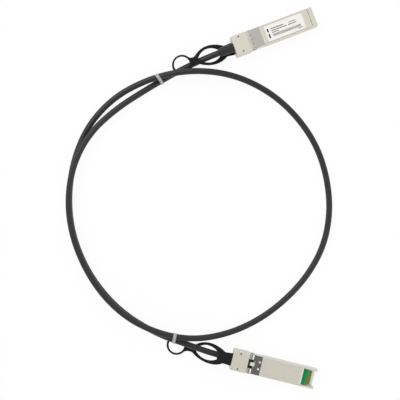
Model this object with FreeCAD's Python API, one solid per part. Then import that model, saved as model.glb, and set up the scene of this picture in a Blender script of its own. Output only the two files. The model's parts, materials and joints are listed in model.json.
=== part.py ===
"""Direct attach copper cable: a pluggable twinax lead with a latching metal plug at each end.

Frame: +Z up, the lead lies on the plane z = 0, the two plugs lie to the right of the coil.
Every plug is built in its own plug frame: +X towards the nose, +Z towards the label side,
x = 0 at the stop face of the rear block and z = 0 at the underside of the nose section.
Each plug is then turned and set down where it lies. Sizes are in millimetres.
"""
import FreeCAD, Part
import math
import os

V = FreeCAD.Vector

# Nose section, the half of the plug that goes into the port
NOSE_LENGTH = 47.5
NOSE_HALF = 6.75
NOSE_HEIGHT = 8.5
NOSE_EDGE = 0.4
NOSE_CHAMFER = 0.4
WALL_INSIDE = 5.6
FLOOR = 1.1
ROOF_UNDER = 7.5
OPENING_START = 38.2
LEAD_IN = 0.8
CAVITY_START = 9.4
UNDERSIDE_RECESS = (11.0, 35.0, 4.8, 0.15)
LEDGE_INSIDE = 3.9
LIP_STARTS = (12.0, 28.0)
LIP_LENGTH = 6.0
ROOF_FLARE = (0.7, 0.6)

# Top cover, sunk between the side walls
COVER_HALF = 5.94
REBATE_HALF = 6.0
COVER_END = 44.1
BRIDGE_START = 44.3
RIB_START = 22.0
RIB_END = 24.0
RIB_INSIDE = 4.0
RIB_OUTSIDE = 4.5

# Rear block, the half of the plug that stays outside the port
BLOCK_LENGTH = 11.0
BLOCK_HALF = 6.95
BLOCK_TOP = 9.05
BLOCK_BOTTOM = -2.0
BLOCK_EDGE = 0.5
AXIS_HEIGHT = 4.5
STOP_TOP = -0.35
STOP_RELIEF = 0.4
PIN_X = -6.0
PIN_Y = 5.2
PIN_RADIUS = 0.6
PIN_SUNK = 0.3
CORNER_STEP = (0.7, 0.9, 1.2)
WIRE_ROOM_HALF = 4.5

# Cable entry
BOOT_RADIUS = 3.0
BOOT_CLEARANCE = 0.05
BOOT_END = -21.0
FLANGE_RADIUS = 3.7
FLANGE_BACK = -9.5
FLANGE_FRONT = -8.2
JACKET_END = -10.0
BRAID_RADIUS = 1.6
BRAID_END = -5.9
FERRULE_RADIUS = 2.2
FERRULE_FRONT = -6.1
BELL_START = -17.0
BELL_RADIUS = 2.4

# Paddle card
CARD_START = 10.0
CARD_END = 44.3
CARD_HALF = 4.6
CARD_BOTTOM = 2.25
CARD_TOP = 3.25
PAD_COUNT = 10
PAD_PITCH = 0.8
PAD_WIDTH = 0.55
PAD_START = 41.2
PAD_END = 44.0
PAD_THICKNESS = 0.05
CARD_BEVEL = 0.25
CHIP_START = 26.0
CHIP_END = 31.0
CHIP_HALF = 2.0
CHIP_HEIGHT = 1.5
CHIP_STANDOFF = 0.1
LEAD_COUNT = 4
LEAD_PITCH = 1.27
LEAD_HALF = 0.2
LEAD_REACH = 3.0
CAPACITOR_START = 16.5
CAPACITOR_LENGTH = 1.0
CAPACITOR_HALF = 0.25
CAPACITOR_HEIGHT = 0.5

# Conductors: four, in two pairs that leave the braid one over the other
PAIR_OFFSET = 0.62
PAD_ROWS = (3.2, 1.9)
WIRE_RADIUS = 0.55
WIRE_BENDS = (-2.4, 4.6)
WIRE_END = 12.0
BARE_RADIUS = 0.2
BARE_END = 13.2
SOLDER_START = 12.4
SOLDER_END = 13.6
SOLDER_HALF = 0.35
SOLDER_HEIGHT = 0.65

# Spring collar, stamped from sheet
SHEET = 0.2
COLLAR_START = 3.3
COLLAR_END = 9.2
COLLAR_SEAT = 9.25
COLLAR_NOTCH = 4.9
FINGER_TIP = 0.5
FINGER_PITCH = 2.9
FINGER_WIDTH = 2.4
FINGER_BOW = 0.35
LABEL_SIDE_FINGERS = 4
FLANK_FINGERS = 2
LATCH_SIDE_FINGER_Y = 4.75
LATCH_SIDE_FINGER_WIDTH = 2.8
BUMP_Y = 2.4
FRONT_NOTCH = 0.8

# Latch: the lever turns on its pin, the slider's wedge lifts the lever's tail
POCKET_HALF = 3.05
POCKET_ROOF = 2.5
POCKET_LOW = -1.0
POCKET_FRONT = 8.95
POCKET_BACK = -0.4
TAIL_POCKET_HALF = 1.6
TAIL_POCKET_BACK = -5.3
PIVOT_X = 7.8
PIVOT_Z = 1.25
PIVOT_RADIUS = 0.45
PIVOT_CLEARANCE = 0.03
PIVOT_PIN_HALF = 4.05
EYE_RADIUS = 0.9
LEVER_BOTTOM = 0.3
LEVER_TOP = 1.2
LEVER_HALF = 2.9
LEVER_ARMS = 3.4
STEM_HALF = 1.2
LATCH_BACK = 1.6
LATCH_FRONT = 4.2
LATCH_DEPTH = 0.45
TAIL_RAMP_START = -2.4
TAIL_END = -5.0
TAIL_RAMP_SLOPE = 0.36
SPRING_SHEET = 0.15
SPRING_BACK = -0.5
SPRING_BEND = 4.2
SPRING_HALF = 1.0
SPRING_TIP = (6.2, 1.42)

# Pull slider and its channel
SLIDER_LOW = -1.3
SLIDER_HIGH = -0.8
SLIDER_HALF = 3.1
SLIDER_FRONT = -0.9
SLIDER_BACK = -15.8
CHANNEL_HALF = 3.3
CHANNEL_LOW = -1.4
CHANNEL_HIGH = -0.1
CHANNEL_FRONT = -0.6
WEDGE_BACK = -2.2
WEDGE_FRONT = -1.0
WEDGE_TOP = 0.25
GRIP_HOLE_X = -14.2
GRIP_HOLE_Y = 1.6
GRIP_HOLE_RADIUS = 0.6

# Pull tab: distances are measured backwards from the rear face of the block
TAB_THICKNESS = 1.2
TAB_START = 0.15
STRAP_HALF = 4.2
STRAP_NECK = (5.5, 3.75)
LENS_START = 8.0
LENS_END = 25.5
LENS_MIDDLE = 16.75
LENS_HALF_INSIDE = 5.0
LENS_HALF_OUTSIDE = 6.7
WAIST_START = (26.5, 2.7)
WAIST_HALF = 2.15
RING_JOIN = (5.74, 3.47)
RING_OUTSIDE = 6.7
RING_INSIDE = 5.55
LENS_TIP = 1.4

# Label, in a shallow recess of the top cover
LABEL_START = 12.4
LABEL_END = 39.7
LABEL_HALF = 5.4
LABEL_CORNER = 1.2
LABEL_THICKNESS = 0.1
LABEL_MARGIN = 0.12
LABEL_SUNK = 0.08

# Cable
CABLE_DIAMETER = 4.2
TIE_WIDTH = 1.4
TIE_THICKNESS = 0.35
COIL_CENTRE = (-29.393, -4.642)

# Each plug: turned about its long axis or not, heading in plan, how far the nose dips until
# it touches the ground, middle of the rear face from the coil centre, how far behind the
# block the ring's middle is, how far the tab leans aside at its oval and at its ring, and the
# tab's bends along its length as (distance from the rear face, height of its middle plane in
# the plug frame).
PLUGS = {
    "upper": {
        "label_up": True,
        "heading": 21.0,
        "dip": 2.41,
        "rear": (23.6, 107.1),
        "ring": 36.9,
        "lean": (0.95, 1.8),
        "tab": [(0.0, -1.05), (8.5, -1.05), (22.0, 4.0), (31.0, 2.5), (46.0, 1.5)],
    },
    "lower": {
        "label_up": False,
        "heading": -13.85,
        "dip": 0.66,
        "rear": (22.37, -104.55),
        "ring": 38.6,
        "lean": (0.3, 0.9),
        "tab": [(0.0, -1.05), (8.0, -1.05), (20.5, 8.4), (31.0, 8.75), (46.0, 8.9)],
    },
}

# Route of the cable between the two boots: direction from the coil centre in degrees,
# distance from it, and height of the cable's middle. It makes one and a half turns.
ROUTE = [
    (92.0, 96.9, 2.9),
    (102.1, 90.8, 2.7),
    (113.4, 87.0, 2.8),
    (131.0, 86.7, 4.3),
    (147.0, 89.1, 6.1),
    (162.0, 89.9, 6.5),
    (177.0, 89.5, 6.5),
    (192.0, 88.9, 6.5),
    (207.0, 88.7, 6.5),
    (222.0, 89.8, 6.6),
    (237.0, 91.2, 7.4),
    (252.0, 91.5, 8.5),
    (267.0, 91.7, 8.2),
    (282.0, 90.4, 3.7),
    (297.0, 88.95, 2.12),
    (312.0, 88.05, 2.12),
    (327.0, 88.85, 2.12),
    (342.0, 90.1, 2.12),
    (357.0, 90.1, 2.12),
    (12.0, 89.8, 2.12),
    (27.0, 90.4, 2.12),
    (42.0, 90.5, 2.2),
    (57.0, 91.15, 3.3),
    (72.0, 91.4, 6.6),
    (86.0, 91.2, 10.0),
    (100.0, 91.45, 10.0),
    (114.5, 92.4, 5.6),
    (129.0, 93.75, 2.8),
    (144.0, 93.4, 2.12),
    (159.0, 91.35, 2.12),
    (174.0, 89.7, 2.12),
    (189.0, 89.1, 2.12),
    (204.0, 88.7, 2.12),
    (219.0, 89.2, 2.2),
    (235.0, 90.7, 3.0),
    (252.0, 92.7, 4.2),
    (267.0, 96.3, 4.7),
]
BOOT_BEND = -24.0
UPPER_TIE_RUNS = (3, 27)
LOWER_TIE_RUNS = (13, 37)


# ---------------------------------------------------------------- basic shapes

def box(x0, x1, y0, y1, z0, z1):
    return Part.makeBox(x1 - x0, y1 - y0, z1 - z0, V(x0, y0, z0))


def mirrored_boxes(x0, x1, y0, y1, z0, z1):
    """The same box on both sides of the plug's middle plane."""
    return [box(x0, x1, y0, y1, z0, z1), box(x0, x1, -y1, -y0, z0, z1)]


def rounded_bar(x0, x1, half, z0, z1, radius):
    """A bar along X with its four long edges rounded."""
    bar = box(x0, x1, -half, half, z0, z1)
    long_edges = [e for e in bar.Edges if abs(e.tangentAt(e.FirstParameter).x) > 0.99]
    return bar.makeFillet(radius, long_edges)


def round_bar(radius, x0, x1, y=0.0, z=AXIS_HEIGHT):
    """A cylinder along X."""
    return Part.makeCylinder(radius, x1 - x0, V(x0, y, z), V(1, 0, 0))


def cross_bar(radius, half, x, z):
    """A cylinder along Y, centred on the plug's middle plane."""
    return Part.makeCylinder(radius, 2 * half, V(x, -half, z), V(0, 1, 0))


def side_profile(points, half):
    """A polygon of (x, z) points extruded across the plug."""
    corners = [V(x, -half, z) for x, z in points]
    face = Part.Face(Part.makePolygon(corners + corners[:1]))
    return face.extrude(V(0, 2 * half, 0))


def fuse(shapes):
    return shapes[0].multiFuse(shapes[1:]).removeSplitter()


def cut(shape, tools):
    return shape.cut(tools)


# ---------------------------------------------------------------- routes and tubes

def rounded_edges(points):
    """Straight runs joined by tangent arcs, and the radius of each arc."""
    edges = []
    radii = []
    start = points[0]
    for before, corner, after in zip(points, points[1:], points[2:]):
        incoming = (corner - before).normalize()
        outgoing = (after - corner).normalize()
        half_turn = incoming.getAngle(outgoing) / 2
        reach = 0.45 * min(corner.distanceToPoint(before), after.distanceToPoint(corner))
        radius = reach / math.tan(half_turn)
        arc_start = corner - incoming * reach
        arc_end = corner + outgoing * reach
        inward = (outgoing - incoming).normalize()
        arc_middle = corner + inward * (radius / math.cos(half_turn) - radius)
        edges.append(Part.LineSegment(start, arc_start).toShape())
        edges.append(Part.Arc(arc_start, arc_middle, arc_end).toShape())
        radii.append(radius)
        start = arc_end
    edges.append(Part.LineSegment(start, points[-1]).toShape())
    return edges, radii


def tube(points, radius):
    """A round tube along straight runs and tangent arcs."""
    edges, radii = rounded_edges(points)
    path = Part.Wire(edges)
    direction = (points[1] - points[0]).normalize()
    section = Part.Wire(Part.makeCircle(radius, points[0], direction))
    solid = path.makePipeShell([section], True, False)
    return solid, path.Length, radii


# ---------------------------------------------------------------- plug housing

def collar_core():
    """What stands inside the spring collar: the nose section less the sheet's thickness."""
    return rounded_bar(-STOP_RELIEF, COLLAR_SEAT, NOSE_HALF - SHEET, SHEET, NOSE_HEIGHT - SHEET,
                       NOSE_EDGE - SHEET)


def collar_seat():
    """The ring of metal taken away where the collar sits."""
    around = box(-STOP_RELIEF, COLLAR_SEAT, -NOSE_HALF - 1, NOSE_HALF + 1, -1, NOSE_HEIGHT + 1)
    return around.cut(collar_core())


def cable_seat():
    """The stepped bore of the rear block for the boot, its flange and the ferrule."""
    return fuse([
        round_bar(BOOT_RADIUS + BOOT_CLEARANCE, -BLOCK_LENGTH - 1, FLANGE_BACK),
        round_bar(FLANGE_RADIUS + BOOT_CLEARANCE, FLANGE_BACK, FLANGE_FRONT),
        round_bar(FERRULE_RADIUS + 0.5, FLANGE_FRONT, BRAID_END),
    ])


def stop_relief():
    """The step above the stop face that leaves the pressed finger tips room to spread."""
    return box(-STOP_RELIEF, 1, -BLOCK_HALF - 1, BLOCK_HALF + 1, STOP_TOP, BLOCK_TOP + 1)


def wire_space():
    """The room in which the wire pairs fan out on their way to the card."""
    return box(BRAID_END, CAVITY_START, -WIRE_ROOM_HALF, WIRE_ROOM_HALF, CARD_TOP - 0.05, ROOF_UNDER)


def pin_holes():
    height = BLOCK_TOP - BLOCK_BOTTOM
    return [Part.makeCylinder(PIN_RADIUS, height, V(PIN_X, y, BLOCK_BOTTOM))
            for y in (-PIN_Y, PIN_Y)]


def lower_housing():
    """Die-cast channel with the rear block's lower half, the latch pocket and the nose bridge."""
    recess_start, recess_end, recess_half, recess_depth = UNDERSIDE_RECESS
    step_length, step_width, step_height = CORNER_STEP
    nose = rounded_bar(-STOP_RELIEF, NOSE_LENGTH, NOSE_HALF, 0, NOSE_HEIGHT, NOSE_EDGE)
    nose = cut(nose, [
        box(CAVITY_START, NOSE_LENGTH + 1, -WALL_INSIDE, WALL_INSIDE, FLOOR, ROOF_UNDER),
        box(-1, BRIDGE_START, -REBATE_HALF, REBATE_HALF, ROOF_UNDER, NOSE_HEIGHT + 1),
        box(OPENING_START, NOSE_LENGTH + 1, -WALL_INSIDE, WALL_INSIDE, -1, FLOOR),
        side_profile([(OPENING_START - LEAD_IN, -0.01), (OPENING_START + 0.01, -0.01),
                      (OPENING_START + 0.01, LEAD_IN)], WALL_INSIDE),
        side_profile([(NOSE_LENGTH - NOSE_CHAMFER, -0.01), (NOSE_LENGTH + 0.01, -0.01),
                      (NOSE_LENGTH + 0.01, NOSE_CHAMFER)], NOSE_HALF + 1),
        side_profile([(NOSE_LENGTH - ROOF_FLARE[0], ROOF_UNDER - 0.01),
                      (NOSE_LENGTH + 0.01, ROOF_UNDER - 0.01),
                      (NOSE_LENGTH + 0.01, ROOF_UNDER + ROOF_FLARE[1])], WALL_INSIDE),
        box(recess_start, recess_end, -recess_half, recess_half, -1, recess_depth),
        collar_seat(),
    ])
    block = rounded_bar(-BLOCK_LENGTH, 0, BLOCK_HALF, BLOCK_BOTTOM, BLOCK_TOP, BLOCK_EDGE)
    block = cut(block, [
        box(-BLOCK_LENGTH - 1, 1, -8, 8, AXIS_HEIGHT, BLOCK_TOP + 1),
        stop_relief(),
    ])
    ledges = mirrored_boxes(CARD_START, OPENING_START - 0.2, LEDGE_INSIDE, WALL_INSIDE,
                            FLOOR, CARD_BOTTOM)
    for lip in LIP_STARTS:
        ledges += mirrored_boxes(lip, lip + LIP_LENGTH, CARD_HALF + 0.05, WALL_INSIDE,
                                 CARD_BOTTOM, CARD_TOP)
    housing = fuse([nose, block] + ledges)
    steps = mirrored_boxes(-BLOCK_LENGTH - 1, -BLOCK_LENGTH + step_length,
                           BLOCK_HALF - step_width, BLOCK_HALF + 1,
                           BLOCK_BOTTOM - 1, BLOCK_BOTTOM + step_height)
    return cut(housing, [
        cable_seat(),
        wire_space(),
        box(POCKET_BACK, POCKET_FRONT, -POCKET_HALF, POCKET_HALF, POCKET_LOW, POCKET_ROOF),
        box(TAIL_POCKET_BACK, 0.5, -TAIL_POCKET_HALF, TAIL_POCKET_HALF, CHANNEL_LOW, POCKET_ROOF),
        box(-BLOCK_LENGTH - 1, CHANNEL_FRONT, -CHANNEL_HALF, CHANNEL_HALF, CHANNEL_LOW, CHANNEL_HIGH),
        box(PIVOT_X - PIVOT_RADIUS, PIVOT_X + PIVOT_RADIUS, -PIVOT_PIN_HALF, PIVOT_PIN_HALF,
            -1, PIVOT_Z),
        cross_bar(PIVOT_RADIUS, PIVOT_PIN_HALF, PIVOT_X, PIVOT_Z),
    ] + steps + pin_holes())


def top_cover():
    """Die-cast lid with the rear block's upper half and two ribs that hold the card down."""
    plate = box(-1, COVER_END, -COVER_HALF, COVER_HALF, ROOF_UNDER, NOSE_HEIGHT)
    plate = cut(plate, [collar_seat(), label_outline(LABEL_MARGIN, NOSE_HEIGHT - LABEL_SUNK, 1.0)])
    block = rounded_bar(-BLOCK_LENGTH, 0, BLOCK_HALF, BLOCK_BOTTOM, BLOCK_TOP, BLOCK_EDGE)
    block = cut(block, [
        box(-BLOCK_LENGTH - 1, 1, -8, 8, BLOCK_BOTTOM - 1, AXIS_HEIGHT),
        stop_relief(),
        cable_seat(),
        wire_space(),
    ] + pin_holes())
    ribs = mirrored_boxes(RIB_START, RIB_END, RIB_INSIDE, RIB_OUTSIDE, CARD_TOP, ROOF_UNDER)
    return fuse([plate, block] + ribs)


def cover_pins():
    """Two drive pins that hold the halves of the rear block together."""
    length = BLOCK_TOP - BLOCK_BOTTOM - 2 * PIN_SUNK
    return Part.makeCompound([
        Part.makeCylinder(PIN_RADIUS, length, V(PIN_X, y, BLOCK_BOTTOM + PIN_SUNK))
        for y in (-PIN_Y, PIN_Y)])


def label_outline(margin, z, height):
    bar = box(LABEL_START - margin, LABEL_END + margin, -LABEL_HALF - margin, LABEL_HALF + margin,
              z, z + height)
    upright = [e for e in bar.Edges if abs(e.tangentAt(e.FirstParameter).z) > 0.99]
    return bar.makeFillet(LABEL_CORNER + margin, upright)


def label():
    return label_outline(0.0, NOSE_HEIGHT - LABEL_SUNK, LABEL_THICKNESS)


# ---------------------------------------------------------------- spring collar

def finger(width):
    """A bowed contact finger along -X whose root is at the origin, lying on the plane z = 0."""
    length = COLLAR_START - FINGER_TIP
    inner = Part.Arc(V(0, 0, 0), V(-length / 2, 0, FINGER_BOW), V(-length, 0, 0)).toShape()
    outer = Part.Arc(V(0, 0, SHEET), V(-length / 2, 0, FINGER_BOW + SHEET),
                     V(-length, 0, SHEET)).toShape()
    root = Part.LineSegment(V(0, 0, 0), V(0, 0, SHEET)).toShape()
    tip = Part.LineSegment(V(-length, 0, 0), V(-length, 0, SHEET)).toShape()
    strip = Part.Face(Part.Wire(Part.__sortEdges__([inner, tip, outer, root])))
    solid = strip.extrude(V(0, width, 0))
    solid.translate(V(0, -width / 2, 0))
    return solid


def placed_finger(x, y, z, roll, width=FINGER_WIDTH):
    """A finger rolled about its own length, so that it bows away from any side of the nose."""
    solid = finger(width)
    solid.rotate(V(0, 0, 0), V(1, 0, 0), roll)
    solid.translate(V(x, y, z))
    return solid


def emi_collar():
    """Spring-steel collar round the root of the nose section, with bowed contact fingers."""
    band = rounded_bar(COLLAR_START, COLLAR_END, NOSE_HALF, 0, NOSE_HEIGHT, NOSE_EDGE)
    band = cut(band, [
        collar_core(),
        box(COLLAR_START - 1, COLLAR_NOTCH, -POCKET_HALF, POCKET_HALF, -1, 1),
        front_notch(),
    ])
    top = NOSE_HEIGHT - SHEET
    side = NOSE_HALF - SHEET
    fingers = []
    for i in range(LABEL_SIDE_FINGERS):
        y = (i - (LABEL_SIDE_FINGERS - 1) / 2) * FINGER_PITCH
        fingers.append(placed_finger(COLLAR_START, y, top, 0))
    for i in range(FLANK_FINGERS):
        z = NOSE_HEIGHT / 2 + (i - (FLANK_FINGERS - 1) / 2) * FINGER_PITCH
        fingers.append(placed_finger(COLLAR_START, side, z, -90))
        fingers.append(placed_finger(COLLAR_START, -side, z, 90))
    for y in (-LATCH_SIDE_FINGER_Y, LATCH_SIDE_FINGER_Y):
        fingers.append(placed_finger(COLLAR_START, y, SHEET, 180, LATCH_SIDE_FINGER_WIDTH))
    bumps = [Part.makeCone(0.65, 0.4, 0.12, V(PIVOT_X, y, 0), V(0, 0, -1)) for y in (-BUMP_Y, BUMP_Y)]
    return fuse([band] + fingers + bumps)


def front_notch():
    """The small notch in the front edge of the collar's underside."""
    edge = COLLAR_END + 0.1
    corners = [V(edge, FRONT_NOTCH, -1), V(edge, -FRONT_NOTCH, -1), V(COLLAR_END - FRONT_NOTCH, 0, -1)]
    return Part.Face(Part.makePolygon(corners + corners[:1])).extrude(V(0, 0, 2))


# ---------------------------------------------------------------- card and wiring

def paddle_card():
    card = box(CARD_START, CARD_END, -CARD_HALF, CARD_HALF, CARD_BOTTOM, CARD_TOP)
    front = [e for e in card.Edges
             if abs(e.tangentAt(e.FirstParameter).y) > 0.99 and e.CenterOfMass.x > CARD_END - 0.1]
    return card.makeChamfer(CARD_BEVEL, front)


def card_contacts():
    """Ten gold pads on each face of the card's front edge."""
    pads = []
    for i in range(PAD_COUNT):
        y = (i - (PAD_COUNT - 1) / 2) * PAD_PITCH
        for low in (CARD_TOP, CARD_BOTTOM - PAD_THICKNESS):
            pads.append(box(PAD_START, PAD_END, y - PAD_WIDTH / 2, y + PAD_WIDTH / 2,
                            low, low + PAD_THICKNESS))
    return Part.makeCompound(pads)


def memory_chip():
    """Eight-lead memory that tells the port what is plugged in."""
    body = box(CHIP_START, CHIP_END, -CHIP_HALF, CHIP_HALF, CARD_TOP + CHIP_STANDOFF,
               CARD_TOP + CHIP_HEIGHT)
    leads = []
    for i in range(LEAD_COUNT):
        x = (CHIP_START + CHIP_END) / 2 + (i - (LEAD_COUNT - 1) / 2) * LEAD_PITCH
        leads += mirrored_boxes(x - LEAD_HALF, x + LEAD_HALF, CHIP_HALF - 0.1, LEAD_REACH,
                                CARD_TOP, CARD_TOP + 0.25)
    return fuse([body] + leads)


def coupling_capacitors():
    """Four blocking capacitors in line with the four conductors."""
    return Part.makeCompound([
        box(CAPACITOR_START, CAPACITOR_START + CAPACITOR_LENGTH, pad - CAPACITOR_HALF,
            pad + CAPACITOR_HALF, CARD_TOP, CARD_TOP + CAPACITOR_HEIGHT)
        for _, _, pad in wire_starts()])


def wire_starts():
    """Where each insulated conductor leaves the braid, and the pad row that it goes to."""
    starts = []
    for side in (1, -1):
        for rise, row in zip((1, -1), PAD_ROWS):
            starts.append((side * PAIR_OFFSET, AXIS_HEIGHT + rise * PAIR_OFFSET, side * row))
    return starts


def twinax_wires():
    """Two shielded pairs, fanned out from the cable to the card."""
    wires = []
    for y, z, pad in wire_starts():
        low = CARD_TOP + WIRE_RADIUS
        stations = [V(BRAID_END, y, z), V(WIRE_BENDS[0], y, z), V(WIRE_BENDS[1], pad, low + 0.1),
                    V(WIRE_END, pad, low)]
        rings = [Part.Wire(Part.makeCircle(WIRE_RADIUS, p, V(1, 0, 0))) for p in stations]
        wires.append(Part.makeLoft(rings, True, True))
    return Part.makeCompound(wires)


def solder_joints():
    """The bare end of each conductor in its solder on the card."""
    joints = []
    for _, _, pad in wire_starts():
        tip = round_bar(BARE_RADIUS, WIRE_END, BARE_END, pad, CARD_TOP + WIRE_RADIUS)
        solder = box(SOLDER_START, SOLDER_END, pad - SOLDER_HALF, pad + SOLDER_HALF,
                     CARD_TOP, CARD_TOP + SOLDER_HEIGHT)
        joints.append(fuse([tip, solder]))
    return Part.makeCompound(joints)


def shield_braid():
    return round_bar(BRAID_RADIUS, JACKET_END, BRAID_END)


def crimp_ferrule():
    return round_bar(FERRULE_RADIUS, FLANGE_FRONT, FERRULE_FRONT).cut(shield_braid())


def cable_boot():
    """Moulded strain relief with a flange that the block's halves clamp, and a bell mouth."""
    half_profile = [
        (BOOT_END + 0.4, BOOT_RADIUS), (FLANGE_BACK, BOOT_RADIUS), (FLANGE_BACK, FLANGE_RADIUS),
        (FLANGE_FRONT, FLANGE_RADIUS), (FLANGE_FRONT, BRAID_RADIUS), (JACKET_END, BRAID_RADIUS),
        (JACKET_END, CABLE_DIAMETER / 2), (BELL_START, CABLE_DIAMETER / 2), (BOOT_END, BELL_RADIUS),
        (BOOT_END, BOOT_RADIUS - 0.3),
    ]
    corners = [V(x, 0, AXIS_HEIGHT + r) for x, r in half_profile]
    face = Part.Face(Part.makePolygon(corners + corners[:1]))
    return face.revolve(V(0, 0, AXIS_HEIGHT), V(1, 0, 0), 360)


# ---------------------------------------------------------------- latch

def latch_lever():
    """T-shaped lever: the wide end turns on the pin, the stem carries the latch tooth."""
    wide = box(LEVER_ARMS, PIVOT_X, -LEVER_HALF, LEVER_HALF, LEVER_BOTTOM, LEVER_TOP)
    eye = cross_bar(EYE_RADIUS, LEVER_HALF, PIVOT_X, PIVOT_Z)
    tail_low = LEVER_BOTTOM - TAIL_RAMP_SLOPE * (TAIL_RAMP_START - TAIL_END)
    stem = side_profile([
        (TAIL_END, LEVER_TOP), (LATCH_FRONT + 1, LEVER_TOP), (LATCH_FRONT + 1, LEVER_BOTTOM),
        (LATCH_FRONT, 0.05), (LATCH_BACK, -LATCH_DEPTH), (LATCH_BACK, LEVER_BOTTOM),
        (TAIL_RAMP_START, LEVER_BOTTOM), (TAIL_END, tail_low),
    ], STEM_HALF)
    bore = cross_bar(PIVOT_RADIUS + PIVOT_CLEARANCE, LEVER_HALF + 1, PIVOT_X, PIVOT_Z)
    return cut(fuse([wide, eye, stem]), [bore])


def latch_pin():
    return cross_bar(PIVOT_RADIUS, PIVOT_PIN_HALF, PIVOT_X, PIVOT_Z)


def latch_spring():
    """Leaf spring under the pocket's roof that keeps the tooth out."""
    tip_x, tip_z = SPRING_TIP
    under = POCKET_ROOF - SPRING_SHEET
    return side_profile([
        (SPRING_BACK, POCKET_ROOF), (SPRING_BEND, POCKET_ROOF), (tip_x, tip_z + SPRING_SHEET),
        (tip_x, tip_z), (tip_x - SPRING_SHEET, tip_z), (SPRING_BEND - 0.1, under),
        (SPRING_BACK, under),
    ], SPRING_HALF)


def pull_slider():
    """Stamped slider: strip, wedge under the lever's tail, and pierced tail for the tab."""
    strip = box(SLIDER_BACK, SLIDER_FRONT, -SLIDER_HALF, SLIDER_HALF, SLIDER_LOW, SLIDER_HIGH)
    wedge = side_profile([
        (WEDGE_BACK, SLIDER_HIGH - 0.1), (WEDGE_BACK, WEDGE_TOP), (WEDGE_FRONT, WEDGE_TOP),
        (WEDGE_FRONT + 0.1, SLIDER_HIGH - 0.1),
    ], STEM_HALF)
    grips = [Part.makeCylinder(GRIP_HOLE_RADIUS, 2, V(GRIP_HOLE_X, y, SLIDER_LOW - 1))
             for y in (-GRIP_HOLE_Y, GRIP_HOLE_Y)]
    return cut(fuse([strip, wedge]), grips)


def tab_point(back, side, plug):
    """A point of the tab's plan, moved aside by the tab's lean at that distance."""
    at_lens, at_ring = plug["lean"]
    if back < LENS_MIDDLE:
        aside = at_lens * back / LENS_MIDDLE
    else:
        share = (back - LENS_MIDDLE) / (plug["ring"] - LENS_MIDDLE)
        aside = at_lens + (at_ring - at_lens) * share
    return V(-BLOCK_LENGTH - back, side + aside, -20)


def tab_outline(plug):
    """Plan of the tab: strap, long oval that the cable passes through, waist and finger ring."""
    def at(back, side):
        return tab_point(back, side, plug)

    ring_centre = plug["ring"]
    join_back = ring_centre - RING_JOIN[0]
    waist_back = (WAIST_START[0] + join_back) / 2
    edges = [Part.LineSegment(at(TAB_START, -STRAP_HALF), at(TAB_START, STRAP_HALF)).toShape()]
    for sign in (1, -1):
        neck = at(STRAP_NECK[0], sign * STRAP_NECK[1])
        bulge = at(LENS_MIDDLE, sign * LENS_HALF_OUTSIDE)
        waist = at(WAIST_START[0], sign * WAIST_START[1])
        ring = at(join_back, sign * RING_JOIN[1])
        edges.append(Part.LineSegment(at(TAB_START, sign * STRAP_HALF), neck).toShape())
        edges.append(Part.Arc(neck, bulge, waist).toShape())
        edges.append(Part.Arc(waist, at(waist_back, sign * WAIST_HALF), ring).toShape())
    far = at(ring_centre, 0) - V(RING_OUTSIDE, 0, 0)
    joins = [at(join_back, sign * RING_JOIN[1]) for sign in (1, -1)]
    edges.append(Part.Arc(joins[0], far, joins[1]).toShape())
    outline = Part.Face(Part.Wire(Part.__sortEdges__(edges))).extrude(V(0, 0, 60))
    ends = (at(LENS_START, 0), at(LENS_END, 0))
    lens = Part.Face(Part.Wire([
        Part.Arc(ends[0], at(LENS_MIDDLE, LENS_HALF_INSIDE), ends[1]).toShape(),
        Part.Arc(ends[1], at(LENS_MIDDLE, -LENS_HALF_INSIDE), ends[0]).toShape(),
    ])).extrude(V(0, 0, 60))
    tips = [e for e in lens.Edges if abs(e.tangentAt(e.FirstParameter).z) > 0.99]
    lens = lens.makeFillet(LENS_TIP, tips)
    hole = Part.makeCylinder(RING_INSIDE, 60, at(ring_centre, 0))
    return cut(outline, [lens, hole])


def pull_tab(plug):
    """Flat moulded tab, bent along its length, with the slider's tail moulded into it."""
    rise = V(0, 0, TAB_THICKNESS)
    low = [V(-BLOCK_LENGTH - back, -20, z - TAB_THICKNESS / 2) for back, z in plug["tab"]]
    lower_edges = rounded_edges(low)[0]
    upper_edges = [edge.translated(rise) for edge in lower_edges]
    ends = [Part.LineSegment(p, p + rise).toShape() for p in (low[0], low[-1])]
    side = Part.Face(Part.Wire(Part.__sortEdges__(lower_edges + upper_edges + ends)))
    ribbon = side.extrude(V(0, 40, 0))
    return ribbon.common(tab_outline(plug)).cut(pull_slider())


# ---------------------------------------------------------------- placing the plugs

def plug_placement(plug):
    """Turns a plug from its own frame to where it lies on the ground."""
    roll = FreeCAD.Rotation(V(1, 0, 0), 0 if plug["label_up"] else 180)
    dip = FreeCAD.Rotation(V(0, 1, 0), plug["dip"])
    heading = FreeCAD.Rotation(V(0, 0, 1), plug["heading"])
    turn = heading.multiply(dip).multiply(roll)
    lowest = V(0, 0, BLOCK_BOTTOM if plug["label_up"] else BLOCK_TOP)
    resting = V(0, 0, -turn.multVec(lowest).z)
    middle = V(-BLOCK_LENGTH, 0, AXIS_HEIGHT)
    rear = turn.multVec(middle)
    x = COIL_CENTRE[0] + plug["rear"][0] - rear.x
    y = COIL_CENTRE[1] + plug["rear"][1] - rear.y
    return FreeCAD.Placement(V(x, y, resting.z), turn)


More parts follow.
